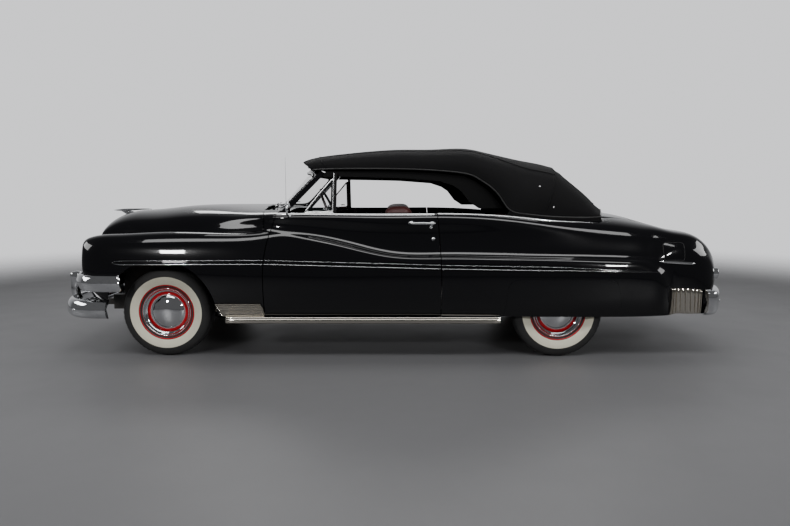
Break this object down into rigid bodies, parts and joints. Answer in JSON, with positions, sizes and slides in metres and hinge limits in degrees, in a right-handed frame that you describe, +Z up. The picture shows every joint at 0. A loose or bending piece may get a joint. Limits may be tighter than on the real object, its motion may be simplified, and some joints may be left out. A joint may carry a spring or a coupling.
{
  "type": "family convertible car",
  "caption": "Two-door convertible car of the 1950s with its cloth top up, rounded fenders, chrome bumpers, red wheels and pale-walled tyres.",
  "frame": {"origin": "on the ground, below the middle of the car's bounding box", "axes": "+X towards the front bumper, +Y towards the car's left side, +Z up"},
  "size_m": [5.2529, 1.965, 1.6211],
  "materials": {
    "paint": "gloss black paint",
    "canvas": "matte black cloth",
    "chrome": "polished chrome plate",
    "wheel_paint": "gloss red paint with bright trim",
    "tyre": "black rubber with a pale sidewall",
    "glass": "clear glass",
    "upholstery": "dark red-brown hide",
    "chassis": "satin black paint",
    "iron": "painted cast iron",
    "steel": "plain steel",
    "lamp_glass": "ribbed clear lens in a bright bezel",
    "lamp_red": "red lens",
    "rim_plastic": "hard gloss plastic"
  },
  "bodies": {
    "car_body": {"convertible_top": "canvas", "cowl": "paint", "dashboard": "paint", "driveshaft": "chassis", "engine": "iron", "exhaust": "steel", "fender_front_left": "paint", "fender_front_right": "paint", "fender_skirts": "paint", "floor_pan": "chassis", "frame": "chassis", "front_bumper": "chrome", "front_seat": "upholstery", "front_suspension": "chassis", "fuel_tank": "chassis", "grille": "chrome", "headlamps": "lamp_glass", "quarter_rear_left": "paint", "quarter_rear_right": "paint", "radiator": "chassis", "rear_axle": "chassis", "rear_bumper": "chrome", "rear_deck": "paint", "rear_seat": "upholstery", "rocker_left": "chrome", "rocker_right": "chrome", "sill_left": "chassis", "sill_right": "chassis", "stone_guards": "chrome", "taillights": "lamp_red", "top_frame": "chassis", "windshield_glass": "glass"},
    "hood": {"hood": "paint", "hood_ornament": "chrome"},
    "trunk_lid": {"trunk_lid": "paint"},
    "door_left": {"door_left": "paint", "vent_window_left": "chrome", "door_mirror": "chrome"},
    "door_right": {"door_right": "paint", "vent_window_right": "chrome"},
    "knuckle_left": {"knuckle_left": "chassis"},
    "knuckle_right": {"knuckle_right": "chassis"},
    "steering_wheel": {"steering_wheel": "rim_plastic"},
    "wheel_front_left": {"wheel_front_left": "wheel_paint", "tyre_front_left": "tyre"},
    "wheel_front_right": {"wheel_front_right": "wheel_paint", "tyre_front_right": "tyre"},
    "wheel_rear_left": {"wheel_rear_left": "wheel_paint", "tyre_rear_left": "tyre"},
    "wheel_rear_right": {"wheel_rear_right": "wheel_paint", "tyre_rear_right": "tyre"}
  },
  "joints": [
    {"name": "wheel_front_left_spin", "type": "hinge", "parent": "knuckle_left", "child": "wheel_front_left", "pos_m": [1.7635, 0.743, 0.34], "axis": [0, 1, 0], "continuous": true},
    {"name": "wheel_front_right_spin", "type": "hinge", "parent": "knuckle_right", "child": "wheel_front_right", "pos_m": [1.7635, -0.743, 0.34], "axis": [0, 1, 0], "continuous": true},
    {"name": "wheel_rear_left_spin", "type": "hinge", "parent": "car_body", "child": "wheel_rear_left", "pos_m": [-1.2335, 0.762, 0.34], "axis": [0, 1, 0], "continuous": true},
    {"name": "wheel_rear_right_spin", "type": "hinge", "parent": "car_body", "child": "wheel_rear_right", "pos_m": [-1.2335, -0.762, 0.34], "axis": [0, 1, 0], "continuous": true},
    {"name": "steer_left", "type": "hinge", "parent": "car_body", "child": "knuckle_left", "pos_m": [1.7635, 0.625, 0.34], "axis": [0, 0, 1], "range_deg": [-30, 30]},
    {"name": "steer_right", "type": "hinge", "parent": "car_body", "child": "knuckle_right", "pos_m": [1.7635, -0.625, 0.34], "axis": [0, 0, 1], "range_deg": [-30, 30]},
    {"name": "steering_wheel_turn", "type": "hinge", "parent": "car_body", "child": "steering_wheel", "pos_m": [0.522, 0.38, 1.072], "axis": [-0.9063, 0, 0.4226], "range_deg": [-540, 540]},
    {"name": "door_left_hinge", "type": "hinge", "parent": "car_body", "child": "door_left", "pos_m": [1.047, 0.932, 0.635], "axis": [0, 0, -1], "range_deg": [0, 65]},
    {"name": "door_right_hinge", "type": "hinge", "parent": "car_body", "child": "door_right", "pos_m": [1.047, -0.932, 0.635], "axis": [0, 0, 1], "range_deg": [0, 65]},
    {"name": "hood_hinge", "type": "hinge", "parent": "car_body", "child": "hood", "pos_m": [0.985, 0, 1.125], "axis": [0, -1, 0], "range_deg": [0, 50]},
    {"name": "trunk_lid_hinge", "type": "hinge", "parent": "car_body", "child": "trunk_lid", "pos_m": [-1.843, 0, 1.069], "axis": [0, 1, 0], "range_deg": [0, 70]}
  ],
  "couplings": [
    {"joint": "steer_right", "follows": "steer_left", "ratio": 1},
    {"joint": "steering_wheel_turn", "follows": "steer_left", "ratio": 18}
  ]
}
